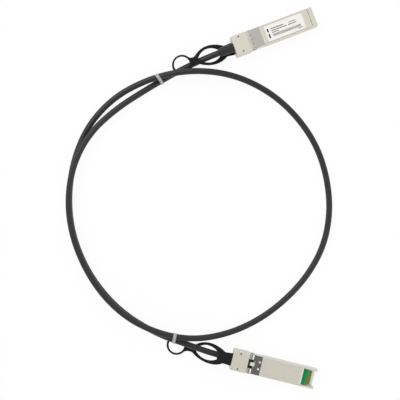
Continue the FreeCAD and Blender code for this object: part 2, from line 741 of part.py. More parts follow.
def plug_parts(plug):
    return {
        "lower_housing": lower_housing(),
        "top_cover": top_cover(),
        "cover_pins": cover_pins(),
        "emi_collar": emi_collar(),
        "label": label(),
        "paddle_card": paddle_card(),
        "card_contacts": card_contacts(),
        "memory_chip": memory_chip(),
        "coupling_capacitors": coupling_capacitors(),
        "twinax_wires": twinax_wires(),
        "solder_joints": solder_joints(),
        "shield_braid": shield_braid(),
        "crimp_ferrule": crimp_ferrule(),
        "cable_boot": cable_boot(),
        "latch_lever": latch_lever(),
        "latch_pin": latch_pin(),
        "latch_spring": latch_spring(),
        "pull_slider": pull_slider(),
        "pull_tab": pull_tab(plug),
    }


# ---------------------------------------------------------------- cable and ties

def cable_points(placements):
    """The whole route, from the jacket's end in the upper plug to that in the lower plug."""
    ends = {}
    for name, placement in placements.items():
        ends[name] = [placement.multVec(V(x, 0, AXIS_HEIGHT)) for x in (JACKET_END, BOOT_BEND)]
    middle = []
    for degrees, distance, height in ROUTE:
        angle = math.radians(degrees)
        middle.append(V(COIL_CENTRE[0] + distance * math.cos(angle),
                        COIL_CENTRE[1] + distance * math.sin(angle), height))
    return ends["upper"] + middle + ends["lower"][::-1]


def cable_tie(points, runs):
    """A band drawn round two neighbouring stretches of the cable, half way along a run of each."""
    middles = [(points[i] + points[i + 1]) / 2 for i in runs]
    along = (points[runs[0] + 1] - points[runs[0]]).normalize()
    offset = (middles[1] - middles[0]) * 0.5
    across = (offset - along * offset.dot(along))
    centre = (middles[0] + middles[1]) / 2
    reach = across.Length
    across.normalize()
    upright = along.cross(across)

    def band(radius):
        corner = [centre + across * (a * reach) + upright * (b * radius) - along * (TIE_WIDTH / 2)
                  for a, b in ((1, 1), (1, -1), (-1, -1), (-1, 1))]
        tip = [centre + across * (a * (reach + radius)) - along * (TIE_WIDTH / 2) for a in (1, -1)]
        wire = Part.Wire([
            Part.Arc(corner[0], tip[0], corner[1]).toShape(),
            Part.LineSegment(corner[1], corner[2]).toShape(),
            Part.Arc(corner[2], tip[1], corner[3]).toShape(),
            Part.LineSegment(corner[3], corner[0]).toShape(),
        ])
        return Part.Face(wire).extrude(along * TIE_WIDTH)

    return band(CABLE_DIAMETER / 2 + TIE_THICKNESS).cut(band(CABLE_DIAMETER / 2))


def main():
    os.makedirs("parts", exist_ok=True)
    nodes = {}
    placements = {}
    for name, plug in PLUGS.items():
        placements[name] = plug_placement(plug)
        for part_name, shape in plug_parts(plug).items():
            shape.Placement = placements[name].multiply(shape.Placement)
            nodes[name + "_" + part_name] = shape
    points = cable_points(placements)
    nodes["cable"], length, radii = tube(points, CABLE_DIAMETER / 2)
    nodes["upper_tie"] = cable_tie(points, UPPER_TIE_RUNS)
    nodes["lower_tie"] = cable_tie(points, LOWER_TIE_RUNS)
    section = math.pi * CABLE_DIAMETER ** 2 / 4
    print("cable length %.1f mm, volume over section and length %.4f"
          % (length, nodes["cable"].Volume / (section * length)))
    print("cable radii: " + " ".join("%.0f" % r for r in radii))
    for name, shape in nodes.items():
        shape.exportStep(os.path.join("parts", name + ".step"))


main()
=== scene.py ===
# %% [markdown]
# # A direct attach copper cable
# Two die-cast plugs are joined by one thick black twinax cable that lies in a loop.
# The plugs, their latches and the loop's size come from the CAD frame. This lesson adds
# the looks: the soft cable, its ties, the rounded rubber and the finishes of the metals.
#
# ## Loading the frame
# Loading brings in every CAD piece at its true place, in metres, so nothing is fitted by
# eye later.

import json
import math

import bmesh
import bpy
from mathutils import Matrix, Vector


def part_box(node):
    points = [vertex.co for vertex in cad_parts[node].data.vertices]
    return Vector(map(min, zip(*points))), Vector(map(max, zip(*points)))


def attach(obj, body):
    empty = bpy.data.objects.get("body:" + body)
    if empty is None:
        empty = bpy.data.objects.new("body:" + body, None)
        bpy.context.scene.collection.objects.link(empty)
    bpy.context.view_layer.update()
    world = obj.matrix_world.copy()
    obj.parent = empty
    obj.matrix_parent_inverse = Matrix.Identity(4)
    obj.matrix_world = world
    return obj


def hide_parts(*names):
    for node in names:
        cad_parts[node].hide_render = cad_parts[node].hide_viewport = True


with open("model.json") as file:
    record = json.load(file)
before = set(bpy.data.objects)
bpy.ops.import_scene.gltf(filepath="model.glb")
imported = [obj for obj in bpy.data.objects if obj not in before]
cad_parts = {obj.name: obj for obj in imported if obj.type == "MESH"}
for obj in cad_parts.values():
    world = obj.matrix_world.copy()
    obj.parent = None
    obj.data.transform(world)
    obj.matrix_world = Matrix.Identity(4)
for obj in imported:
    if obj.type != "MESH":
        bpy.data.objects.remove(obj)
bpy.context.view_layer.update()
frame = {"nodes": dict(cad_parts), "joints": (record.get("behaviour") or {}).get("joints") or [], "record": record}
nodes = frame["nodes"]

# %% [markdown]
# ## Picking what an operator acts on
# Blender's operators act on all that is selected, and loading leaves much selected. One
# small helper clears that and picks only the pieces named. It is used first on all CAD
# pieces, to shade them smooth where two faces meet at a small angle, as on a round pin, and
# sharp everywhere else.

# %% pick pieces and shade them
ROUND_ANGLE = math.radians(30)


def pick(*pieces):
    """Selects these pieces and nothing else. The first one becomes the active one."""
    bpy.ops.object.select_all(action="DESELECT")
    for piece in pieces:
        piece.select_set(True)
    bpy.context.view_layer.objects.active = pieces[0]


pick(*nodes.values())
bpy.ops.object.shade_smooth_by_angle(angle=ROUND_ANGLE)
bpy.ops.object.select_all(action="DESELECT")
print("shaded", len(nodes), "pieces, smooth below", round(math.degrees(ROUND_ANGLE)), "degrees")

# %% [markdown]
# ## A finish is never one flat colour
# Real metal and rubber vary a little: grain, wear and tiny bumps. Each could be painted by
# hand, but noise does it evenly over a whole piece. One helper mixes two close colours,
# two close values of gloss and a faint relief by the same noise, so a finish only
# has to say its colours, its gloss and the size and depth of its grain. The noise reads
# object coordinates, so it stays on the piece when the piece moves.

# %% a helper that makes a finish
NOISE_LOW, NOISE_HIGH = 0.3, 0.7
NOISE_DETAIL = 4.0


def finish(name, dark, light, grain=0.0004, stretch=(1, 1, 1), rough=(0.4, 0.5),
           bump=0.15, depth=0.00002, metal=0.0, specular=0.5):
    """A material whose colour, roughness and relief follow a noise of the given grain."""
    material = bpy.data.materials.new(name)
    material.use_nodes = True
    tree = material.node_tree
    shader = tree.nodes["Principled BSDF"]
    shader.inputs["Metallic"].default_value = metal
    shader.inputs["Specular IOR Level"].default_value = specular
    coords = tree.nodes.new("ShaderNodeTexCoord")
    place = tree.nodes.new("ShaderNodeMapping")
    place.inputs["Scale"].default_value = [share / grain for share in stretch]
    noise = tree.nodes.new("ShaderNodeTexNoise")
    noise.inputs["Scale"].default_value = 1.0
    noise.inputs["Detail"].default_value = NOISE_DETAIL
    colour = tree.nodes.new("ShaderNodeValToRGB")
    for stop, at, value in zip(colour.color_ramp.elements, (NOISE_LOW, NOISE_HIGH), (dark, light)):
        stop.position = at
        stop.color = (*value, 1)
    gloss = tree.nodes.new("ShaderNodeMapRange")
    gloss.inputs["From Min"].default_value = NOISE_LOW
    gloss.inputs["From Max"].default_value = NOISE_HIGH
    gloss.inputs["To Min"].default_value = rough[0]
    gloss.inputs["To Max"].default_value = rough[1]
    relief = tree.nodes.new("ShaderNodeBump")
    relief.inputs["Strength"].default_value = bump
    relief.inputs["Distance"].default_value = depth
    link = tree.links.new
    link(coords.outputs["Object"], place.inputs["Vector"])
    link(place.outputs["Vector"], noise.inputs["Vector"])
    link(noise.outputs["Fac"], colour.inputs["Fac"])
    link(noise.outputs["Fac"], gloss.inputs["Value"])
    link(noise.outputs["Fac"], relief.inputs["Height"])
    link(colour.outputs["Color"], shader.inputs["Base Color"])
    link(gloss.outputs["Result"], shader.inputs["Roughness"])
    link(relief.outputs["Normal"], shader.inputs["Normal"])
    return material


print("a finish goes from dark to light between noise", NOISE_LOW, "and", NOISE_HIGH)

# %% [markdown]
# ## The metals
# The shells are die-cast zinc with a satin nickel plate, which looks nearly like warm grey
# paint, so it is only partly metallic. The collar and the latch are stainless sheet, and
# their grain is stretched one way because sheet is rolled. The pins are dark steel, and
# the wires' shield is a braid of tinned copper that a deep coarse grain stands for.

# %% metal finishes
FINISHES = {
    "cast_metal": finish("cast_metal", (0.63, 0.607, 0.52), (0.705, 0.677, 0.585),
                         grain=0.0003, rough=(0.36, 0.44), metal=0.3, bump=0.1),
    "spring_steel": finish("spring_steel", (0.56, 0.535, 0.495), (0.67, 0.64, 0.595),
                           grain=0.0009, stretch=(1, 6, 1), rough=(0.16, 0.22), metal=1.0,
                           bump=0.03),
    "latch_steel": finish("latch_steel", (0.55, 0.54, 0.51), (0.7, 0.69, 0.66),
                          grain=0.0009, stretch=(6, 1, 1), rough=(0.2, 0.32), metal=1.0),
    "pin_steel": finish("pin_steel", (0.1, 0.09, 0.08), (0.2, 0.19, 0.17),
                        grain=0.0005, rough=(0.4, 0.6), metal=1.0),
    "braid": finish("braid", (0.25, 0.24, 0.23), (0.62, 0.6, 0.57),
                    grain=0.00025, rough=(0.3, 0.5), metal=1.0, bump=0.6, depth=0.0001),
    "ferrule_brass": finish("ferrule_brass", (0.5, 0.36, 0.14), (0.66, 0.5, 0.24),
                            grain=0.0008, rough=(0.25, 0.4), metal=1.0),
}
print("metals:", ", ".join(FINISHES))

# %% [markdown]
# ## The card and its parts
# The paddle card is fibreglass under green solder mask, which shines little inside the
# deep nose, so its specular level is low. Its contacts are hard gold, and the parts
# on it are black moulding, tan ceramic and bright solder. The wires' insulation is foamed
# and nearly white.

# %% card finishes
FINISHES |= {
    "card_laminate": finish("card_laminate", (0.001, 0.23, 0.07), (0.002, 0.32, 0.105),
                            grain=0.0008, rough=(0.3, 0.4), specular=0.08),
    "gold": finish("gold", (0.6, 0.34, 0.06), (0.78, 0.48, 0.12),
                   grain=0.0006, rough=(0.2, 0.3), metal=1.0),
    "chip_plastic": finish("chip_plastic", (0.012, 0.012, 0.013), (0.03, 0.03, 0.032),
                           grain=0.0001, rough=(0.5, 0.65)),
    "capacitor_ceramic": finish("capacitor_ceramic", (0.36, 0.25, 0.15), (0.5, 0.36, 0.22),
                                grain=0.0002, rough=(0.45, 0.6)),
    "wire_insulation": finish("wire_insulation", (0.6, 0.6, 0.58), (0.75, 0.75, 0.72),
                              grain=0.0005, rough=(0.3, 0.4)),
    "solder": finish("solder", (0.5, 0.5, 0.51), (0.66, 0.66, 0.67),
                     grain=0.0003, rough=(0.2, 0.4), metal=1.0),
}
print("finishes so far:", len(FINISHES))

# %% [markdown]
# ## Rubber, jacket and film
# Boots, tabs and jacket are all black, and still differ: the jacket is extruded and has a
# soft sheen, the boot is moulded harder, and the tab is dull rubber. None is pure black,
# because a pure black shows no form. The label is matt paper film, and the ties are clear
# shrink film that looks grey over the black cable.

# %% soft finishes
FINISHES |= {
    "boot_rubber": finish("boot_rubber", (0.012, 0.012, 0.013), (0.024, 0.024, 0.025),
                          grain=0.0005, rough=(0.35, 0.45), specular=0.35),
    "tab_rubber": finish("tab_rubber", (0.005, 0.005, 0.0055), (0.01, 0.01, 0.011),
                         grain=0.0004, rough=(0.55, 0.68), bump=0.25, specular=0.2),
    "cable_jacket": finish("cable_jacket", (0.012, 0.012, 0.013), (0.022, 0.022, 0.023),
                           grain=0.0008, rough=(0.4, 0.52), bump=0.2, specular=0.42),
    "label_film": finish("label_film", (0.78, 0.77, 0.74), (0.84, 0.83, 0.8),
                         grain=0.0006, rough=(0.4, 0.5), bump=0.05),
    "tie_film": finish("tie_film", (0.32, 0.32, 0.33), (0.46, 0.46, 0.47),
                       grain=0.0004, rough=(0.15, 0.25), bump=0.2),
}
print("finishes so far:", len(FINISHES))

# %% [markdown]
# ## Painting the CAD pieces
# The record names a slot for every CAD piece, and each slot has a finish of the same name,
# so one loop dresses them all, also those that only show through the nose's opening.

# %% paint every piece


def paint(piece, material):
    """Gives a piece one material in place of whatever it had."""
    piece.data.materials.clear()
    piece.data.materials.append(material)


for part in frame["record"]["subparts"]:
    paint(nodes[part["node"]], FINISHES[part["material_slot"]])

# %% [markdown]
# ## Where each plug lies
# The two plugs are the same product, one lying label up and one label down. Modelling on
# them is easiest in a plug's own directions: forward into the port, across it, and up
# through its label. They could be typed in as angles, but the latch joints of the frame
# already hold them: a slide runs backward, and a hinge runs across. So they are read
# from there. The hinge's place on a plug is known, and that gives the plug's start.

# %% the plugs' own directions
PIVOT = Vector((0.0078, 0.0, 0.00125))
SIDES = ("upper", "lower")
JOINTS = {joint["name"]: joint for joint in frame["joints"]}


def plug_frame(side):
    """The matrix that takes a place on a plug, in its own directions, into the frame."""
    forward = -Vector(JOINTS[side + "_pull_slide"]["axis"])
    across = Vector(JOINTS[side + "_latch_hinge"]["axis"])
    up = forward.cross(across)
    turned = Matrix((forward, across, up)).transposed().to_4x4()
    pivot = Vector(JOINTS[side + "_latch_hinge"]["pos_m"])
    return Matrix.Translation(pivot - turned @ PIVOT) @ turned


PLUG = {side: plug_frame(side) for side in SIDES}
for side, place in PLUG.items():
    print(side, "plug starts at", [round(value, 4) for value in place.translation])

# %% [markdown]
# ## Taking over a CAD piece
# The CAD piece itself is never changed. Where its look needs more shape, a copy stands for
# it. The CAD mesh is loose triangles with its own shading, so the copy first loses that
# shading, its double points are merged, and triangles in one plane become one face.

# %% a copy that stands for a CAD piece
MERGE_DISTANCE = 0.000001
FLAT_ANGLE = math.radians(0.5)


def taken_over(node, body="root"):
    """A copy of a CAD piece that stands for it, with its triangles merged to whole faces."""
    pick(nodes[node])
    bpy.ops.object.duplicate()
    piece = bpy.context.object
    for key in [key for key in piece.keys() if key.startswith("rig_")]:
        del piece[key]
    piece.parent = None
    piece.name = node + "_finished"
    bpy.ops.mesh.customdata_custom_splitnormals_clear()
    bpy.ops.object.mode_set(mode="EDIT")
    bpy.ops.mesh.select_all(action="SELECT")
    bpy.ops.mesh.remove_doubles(threshold=MERGE_DISTANCE)
    bpy.ops.mesh.dissolve_limited(angle_limit=FLAT_ANGLE)
    bpy.ops.object.mode_set(mode="OBJECT")
    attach(piece, body)
    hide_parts(node)
    return piece


print("double points are merged within", MERGE_DISTANCE * 1000, "mm")

# %% [markdown]
# ## Modifiers and shading
# A modifier is a recipe that Blender keeps beside the mesh. Here each one is applied at once,
# so the finished piece is plain mesh. The shading of a finished piece is weighted by the
# size of its faces, so that a broad flat face stays flat and its narrow rounded edge
# takes all of the turn. Without that, a flat wall looks pillowed.

# %% helpers for modifiers and shading


def finish_with(piece, kind, **settings):
    """Adds a modifier of this kind, gives it the settings and applies it."""
    bpy.ops.object.modifier_add(type=kind)
    modifier = piece.modifiers[-1]
    for name, value in settings.items():
        setattr(modifier, name, value)
    bpy.ops.object.modifier_apply(modifier=modifier.name)


def evenly_shaded(piece, angle):
    """Smooth shading across edges below the angle, with flat faces kept truly flat."""
    bpy.ops.object.shade_smooth_by_angle(angle=math.radians(angle))
    finish_with(piece, "WEIGHTED_NORMAL", keep_sharp=True)


print("helpers ready:", finish_with.__name__, "and", evenly_shaded.__name__)

# %% [markdown]
# ## Edges that catch the light
# A die-cast or moulded edge is never sharp: it has a radius of a tenth of a millimetre or
# more, and that thin line of light tells the eye what the thing is made of. A bevel on
# every edge would be quick, but on a thin wall or step two bevels run into each other. So
# only strong edges are marked, between faces wider than a given wall.

# %% marking the strong edges
STRONG_ANGLE = math.radians(40)


def face_width(face):
    """How wide a face is at most: twice its area over the length of its outline."""
    return 2 * face.calc_area() / sum(edge.calc_length() for edge in face.edges)


def mark_strong_edges(piece, wall):
    """Marks for the bevel the sharp edges whose two faces are both wider than a thin wall."""
    work = bmesh.new()
    work.from_mesh(piece.data)
    weight = work.edges.layers.float.new("bevel_weight_edge")
    marked = 0
    for edge in work.edges:
        if len(edge.link_faces) == 2 and edge.calc_face_angle(0) > STRONG_ANGLE:
            if min(face_width(face) for face in edge.link_faces) > wall:
                edge[weight] = 1.0
                marked += 1
    work.to_mesh(piece.data)
    work.free()
    return marked


print("an edge is strong above", round(math.degrees(STRONG_ANGLE)), "degrees")

# %% [markdown]
# ### The bevel
# The bevel then follows the marks. Faces with many sides are divided before it, because a
# face in the shape of a U, such as the front of the nose, can fill itself in across its
# mouth once its corners are rounded.

# %% rounding the marked edges
BLEND_ANGLE = 50


def bevelled(piece, width, segments=2, wall=0.0):
    """Rounds a piece's strong edges, after its many-sided faces are divided."""
    marked = mark_strong_edges(piece, wall)
    bpy.ops.object.mode_set(mode="EDIT")
    bpy.ops.mesh.select_mode(type="FACE")
    bpy.ops.mesh.select_all(action="DESELECT")
    bpy.ops.mesh.select_face_by_sides(number=4, type="GREATER", extend=False)
    bpy.ops.mesh.quads_convert_to_tris(ngon_method="BEAUTY")
    bpy.ops.object.mode_set(mode="OBJECT")
    finish_with(piece, "BEVEL", width=width, segments=segments, limit_method="WEIGHT",
                use_clamp_overlap=False)
    print(piece.name, marked, "edges rounded,", len(piece.data.polygons), "faces")


def rounded(node, width, body="root", segments=2, wall=0.0):
    """A copy of a CAD piece whose strong edges are rounded to the given width."""
    piece = taken_over(node, body)
    bevelled(piece, width, segments, wall)
    evenly_shaded(piece, BLEND_ANGLE)
    return piece


print("rounded edges blend below", BLEND_ANGLE, "degrees")

# %% [markdown]
# ## A second finish on part of a piece
# One casting can be bright outside and dull in a pocket. Its faces could be picked one by
# one, but they lie in places that are easy to name. So a box in the plug's own
# directions, in millimetres, picks the faces whose middles lie in it.

# %% a helper for part of a piece


def refinish(piece, side, finish_name, low, high):
    """Gives the faces whose middles lie between two corners, in millimetres, a finish."""
    piece.data.materials.append(FINISHES[finish_name])
    to_plug = PLUG[side].inverted()
    chosen = 0
    for face in piece.data.polygons:
        middle = to_plug @ face.center
        if all(low[axis] < middle[axis] * 1000 < high[axis] for axis in range(3)):
            face.material_index = len(piece.data.materials) - 1
            chosen += 1
    print(piece.name, "faces with", finish_name, chosen)


print("second finishes come from the same list of", len(FINISHES))

# %% [markdown]
# ## The die-cast shells
# The lower housing and the top cover are zinc castings. Their edges get a small radius.
# The walls of the latch's pocket and the groove of the seam where the two castings meet
# get a dark, dull finish: painted shade. The inside of the nose's hood and the sloped
# lead-in at the card's opening get a near-white finish: a painted highlight.

# %% shells
CAST_RADIUS = 0.00012
CAST_WALL = 0.0003
POCKET = ((-5.6, -3.2, -1.15), (9.2, 3.2, 2.6))
SEAM = ((44.05, -6.1, 7.3), (44.35, 6.1, 8.6))
HOOD = ((44.4, -5.6, 7.1), (47.7, 5.6, 8.4))
LEAD_IN = ((37.6, -5.6, -0.1), (38.25, 5.6, 1.2))
# painted shade: a dark finish for the latch's pocket, the seam's groove and the lever's stem
FINISHES["painted_shade"] = finish("painted_shade", (0.05, 0.045, 0.035), (0.1, 0.09, 0.075),
                                  grain=0.0003, rough=(0.5, 0.7), bump=0.1)
# painted highlight: a near-white finish for the inside of the nose's hood and the lead-in
FINISHES["painted_highlight_plate"] = finish("painted_highlight_plate", (0.95, 0.93, 0.87), (0.99, 0.97, 0.92),
                                grain=0.0003, rough=(0.3, 0.4), bump=0.1)
for side in SIDES:
    housing = rounded(side + "_lower_housing", CAST_RADIUS, wall=CAST_WALL)
    refinish(housing, side, "painted_shade", *POCKET)
    refinish(housing, side, "painted_shade", *SEAM)
    refinish(housing, side, "painted_highlight_plate", *HOOD)
    refinish(housing, side, "painted_highlight_plate", *LEAD_IN)
    cover = rounded(side + "_top_cover", CAST_RADIUS, wall=CAST_WALL)
    refinish(cover, side, "painted_shade", *SEAM)

# %% [markdown]
# ## The spring collar
# The collar is stamped from thin steel sheet and wrapped round the nose. Its fingers are
# too thin for rounded edges, so the copy keeps the CAD shape and only its shading is
# evened, at a small angle, so that the bowed fingers look bent and not faceted. Its two
# pivot bosses get a near-white finish: a painted highlight. They lie one on each side of
# the latch's hinge.

# %% the spring collar of a plug
FINGER_ANGLE = 12
BOSS_OFFSETS = (-2.4, 2.4)
BOSS_REACH = 0.7
BOSS_HEIGHTS = (-0.15, -0.01)
# painted highlight: a near-white finish for the collar's two pivot bosses
FINISHES["painted_highlight_steel"] = finish("painted_highlight_steel", (0.85, 0.84, 0.82), (0.95, 0.94, 0.92),
                                  grain=0.0004, rough=(0.3, 0.4), metal=0.6)


def spring_collar(side):
    """A plug's collar with evenly shaded fingers and a painted highlight on its two bosses."""
    collar = taken_over(side + "_emi_collar")
    evenly_shaded(collar, FINGER_ANGLE)
    along = PIVOT.x * 1000
    for across in BOSS_OFFSETS:
        refinish(collar, side, "painted_highlight_steel",
                 (along - BOSS_REACH, across - BOSS_REACH, BOSS_HEIGHTS[0]),
                 (along + BOSS_REACH, across + BOSS_REACH, BOSS_HEIGHTS[1]))


print("bosses lie", BOSS_OFFSETS, "mm off the middle")

# %% [markdown]
# ## The latch
# The lever and the slider are stamped from thicker sheet and tumbled after the punch, which
# rounds their edges a little. Each rides on its own body, so it moves with its joint. The
# lever's stem behind the tooth gets the dark finish of the pocket: painted shade.

# %% collars, levers and sliders
STAMPED_RADIUS = 0.00004
STEM = ((-6.0, -1.3, -1.0), (0.5, 1.3, 2.0))
for side in SIDES:
    spring_collar(side)
    lever = rounded(side + "_latch_lever", STAMPED_RADIUS, side + "_latch")
    # painted shade: the stem behind the tooth gets the dark finish of the pocket
    refinish(lever, side, "painted_shade", *STEM)
    rounded(side + "_pull_slider", STAMPED_RADIUS, side + "_pull")

# %% [markdown]
# ## Rubber tabs
# The pull tab is moulded in one piece over the slider's tail. Rubber has no sharp edge
# anywhere, also where the strap bends and the openings meet, so a bevel isn't enough. The
# copy is bevelled and swollen a little, remeshed in small cubes and then smoothed, which
# rounds everything at once and keeps the shape. The bevel comes first because cubes
# make a ragged line of an edge that is still sharp.

# %% moulded tabs
TAB_EDGE = 0.0003
TAB_SWELL = 0.00017
TAB_CUBE = 0.00013
TAB_SMOOTHING = 20


def moulded(node, body):
    """A copy of a CAD piece with the soft, even rounding of a rubber moulding."""
    piece = taken_over(node, body)
    bevelled(piece, TAB_EDGE)
    bpy.ops.object.mode_set(mode="EDIT")
    bpy.ops.mesh.select_all(action="SELECT")
    bpy.ops.transform.shrink_fatten(value=TAB_SWELL)
    bpy.ops.object.mode_set(mode="OBJECT")
    finish_with(piece, "REMESH", mode="VOXEL", voxel_size=TAB_CUBE)
    finish_with(piece, "SMOOTH", factor=0.5, iterations=TAB_SMOOTHING)
    bpy.ops.object.shade_smooth()
    print(piece.name, "remeshed to", len(piece.data.polygons), "faces")


for side in SIDES:
    moulded(side + "_pull_tab", side + "_pull")

# %% [markdown]
# ## Boots
# The boot is harder and turned round the cable, so a plain bevel at its bell is enough.

# %% boots
BOOT_RADIUS = 0.0002
BOOT_WALL = 0.0002
for side in SIDES:
    rounded(side + "_cable_boot", BOOT_RADIUS, segments=3, wall=BOOT_WALL)

# %% [markdown]
# ## Print on the labels
# A real label tells what the cable is. Here it carries only a neutral layout: two
# columns of plain bars where lines of print would be and a row of even ticks, so it says
# nothing. It could be a painted texture, but screen-printed ink has a thickness, so each
# bar is a thin raised plate with rounded ends: a flat box whose four upright edges are
# bevelled.

# %% a bar of ink
LABEL_TOP = 0.00852
INK = 0.000012
BAR_ROUNDING = 0.35
FINISHES["ink"] = finish("ink", (0.025, 0.025, 0.027), (0.06, 0.06, 0.065),
                         grain=0.0001, rough=(0.45, 0.6), bump=0.05)


def bar(x, y, length, width):
    """One bar of ink on the label's plane, in millimetres along and across the plug."""
    bpy.ops.object.select_all(action="DESELECT")
    bpy.ops.mesh.primitive_cube_add(size=1, location=(x / 1000, y / 1000, LABEL_TOP + INK / 2),
                                    scale=(length / 1000, width / 1000, INK))
    piece = bpy.context.object
    bpy.ops.object.transform_apply(location=True, rotation=True, scale=True)
    bpy.ops.object.mode_set(mode="EDIT")
    bpy.ops.mesh.select_all(action="DESELECT")
    bpy.ops.object.mode_set(mode="OBJECT")
    for edge in piece.data.edges:
        first, second = (piece.data.vertices[index].co for index in edge.vertices)
        edge.select = abs(first.z - second.z) > INK / 2
    bpy.ops.object.mode_set(mode="EDIT")
    bpy.ops.mesh.select_mode(type="EDGE")
    bpy.ops.mesh.bevel(offset=min(length, width) / 1000 * BAR_ROUNDING, segments=2,
                       affect="EDGES")
    bpy.ops.object.mode_set(mode="OBJECT")
    return piece


print("ink is", INK * 1000, "mm thick")

# %% [markdown]
# ### A row of ticks
# Even ticks could be placed one by one. One tick is modelled instead and copied at an even
# pitch, each copy with its own mesh.

# %% a row of even ticks
TICK_START = 17.0
TICK_ACROSS = -2.3
TICK_LENGTH = 0.38
TICK_WIDTH = 1.9
TICK_PITCH = 0.75
TICK_COUNT = 27


def row_of_ticks():
    """The first tick and its copies along the label."""
    tick = bar(TICK_START, TICK_ACROSS, TICK_LENGTH, TICK_WIDTH)
    ticks = [tick]
    for number in range(1, TICK_COUNT):
        pick(tick)
        bpy.ops.object.duplicate()
        copy = bpy.context.object
        copy.data.transform(Matrix.Translation((number * TICK_PITCH / 1000, 0, 0)))
        ticks.append(copy)
    return ticks


print("a row has", TICK_COUNT, "ticks,", TICK_PITCH, "mm apart")

# %% [markdown]
# ### The layout
# Each row is the middle of a bar along and across the plug, its length and its width, in
# millimetres. All strokes of a label are joined, turned from the plug's directions
# into the frame, and made one piece that rides on the root.

# %% print both labels
BARS = [
    (21.0, 2.3, 9.0, 0.55), (32.0, 2.3, 5.0, 0.4),
    (22.0, 0.9, 11.0, 0.5), (31.5, 0.9, 6.0, 0.5),
    (19.0, -0.4, 5.0, 0.45), (36.0, -3.9, 4.0, 0.35),
]
BLOCKS = [(14.2, 1.9, 1.1, 2.6), (14.2, -2.1, 1.1, 3.2)]


def printed(side):
    """The whole print of one label, as one piece in its place."""
    strokes = [bar(*row) for row in BARS + BLOCKS] + row_of_ticks()
    pick(*strokes)
    bpy.ops.object.join()
    ink = bpy.context.object
    ink.name = side + "_label_ink"
    ink.matrix_world = PLUG[side]
    bpy.ops.object.transform_apply(location=True, rotation=True, scale=True)
    print(ink.name, "strokes", len(strokes))
    return ink


for side in SIDES:
    ink = printed(side)
    paint(ink, FINISHES["ink"])
    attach(ink, "root")

# %% [markdown]
# ## The cable's route
# One round jacket a little over four millimetres thick leaves the upper boot, goes one and
# a half times round the loop and enters the lower boot. A cable bends in one smooth sweep,
# which a chain of straight runs never shows, so its line is a spline. Each row gives the
# bearing round the coil in degrees, and the distance from its centre and the height in
# millimetres. The first and last points lie in the boots.

# %% the cable's route
COIL_CENTRE = (-0.029393, -0.004642)
UPPER_END = [(-0.00486, 0.102816, 0.006915), (-0.017919, 0.097803, 0.007503)]
LOWER_END = [(-0.019644, -0.10608, 0.004826), (-0.006052, -0.109431, 0.004665)]
ROUTE = [
    (92, 96.9, 2.9), (102.1, 90.8, 2.7), (113.4, 87, 2.8), (131, 86.7, 4.3),
    (147, 89.1, 6.1), (162, 89.9, 6.5), (177, 89.5, 6.5), (192, 88.9, 6.5),
    (207, 88.7, 6.5), (222, 89.8, 6.6), (237, 91.2, 7.4), (252, 91.5, 8.5),
    (267, 91.7, 8.2), (282, 90.4, 3.7), (297, 88.95, 2.12), (312, 88.05, 2.12),
    (327, 88.85, 2.12), (342, 90.1, 2.12), (357, 90.1, 2.12), (12, 89.8, 2.12),
    (27, 90.4, 2.12), (42, 90.5, 2.2), (57, 91.15, 3.3), (72, 91.4, 6.6),
    (86, 91.2, 10), (100, 91.45, 10), (114.5, 92.4, 5.6), (129, 93.75, 2.8),
    (144, 93.4, 2.12), (159, 91.35, 2.12), (174, 89.7, 2.12), (189, 89.1, 2.12),
    (204, 88.7, 2.12), (219, 89.2, 2.2), (235, 90.7, 3), (252, 92.7, 4.2),
    (267, 96.3, 4.7),
]


def on_coil(bearing, distance, height):
    """A point of the route in the frame, from its bearing round the coil."""
    turn = math.radians(bearing)
    return (COIL_CENTRE[0] + distance / 1000 * math.cos(turn),
            COIL_CENTRE[1] + distance / 1000 * math.sin(turn),
            height / 1000)


route = UPPER_END + [on_coil(*row) for row in ROUTE] + LOWER_END
print("route points", len(route))

# %% [markdown]
# ## The jacket
# The jacket is a curve with a round bevel, so it keeps the same thickness all the way and
# its length can be read from the line itself.

# %% the jacket along the route
CABLE_RADIUS = 0.0021
STEPS_PER_POINT = 12
STEPS_ROUND = 8
bpy.ops.curve.primitive_nurbs_path_add(location=(0, 0, 0))
cable = bpy.context.object
cable.name = "cable_jacket_line"
cable.data.splines.clear()
line = cable.data.splines.new("NURBS")
line.points.add(len(route) - 1)
for point, place in zip(line.points, route):
    point.co = (*place, 1)
line.order_u = 3
line.use_endpoint_u = True
line.resolution_u = STEPS_PER_POINT
cable.data.dimensions = "3D"
cable.data.bevel_depth = CABLE_RADIUS
cable.data.bevel_resolution = STEPS_ROUND
cable.data.use_fill_caps = True
paint(cable, FINISHES["cable_jacket"])
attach(cable, "root")
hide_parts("cable")
print("cable length", line.calc_length())

# %% [markdown]
# ## The ties
# Two bands of clear shrink film hold the strands together. The CAD band stands for the
# film where it is tight, and the film spreads along the cable at both sides of that, so
# the copy is stretched along the strands, which run square to the line from the middle.

# %% ties
TIE_SPREAD = 1.5
TIE_ANGLE = 35


def spread_tie(node):
    """A copy of a tie that is stretched along the strands it holds."""
    tie = taken_over(node)
    low, high = (Vector(corner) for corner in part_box(node))
    middle = (low + high) / 2
    bearing = math.atan2(middle.y - COIL_CENTRE[1], middle.x - COIL_CENTRE[0])
    strands = Matrix.Rotation(bearing + math.pi / 2, 4, "Z")
    there = Matrix.Translation(middle) @ strands
    tie.data.transform(there @ Matrix.Diagonal((TIE_SPREAD, 1, 1, 1)) @ there.inverted())
    evenly_shaded(tie, TIE_ANGLE)
    print(tie.name, "middle", [round(value, 4) for value in middle])
    return tie


ties = [spread_tie(node) for node in ("upper_tie", "lower_tie")]
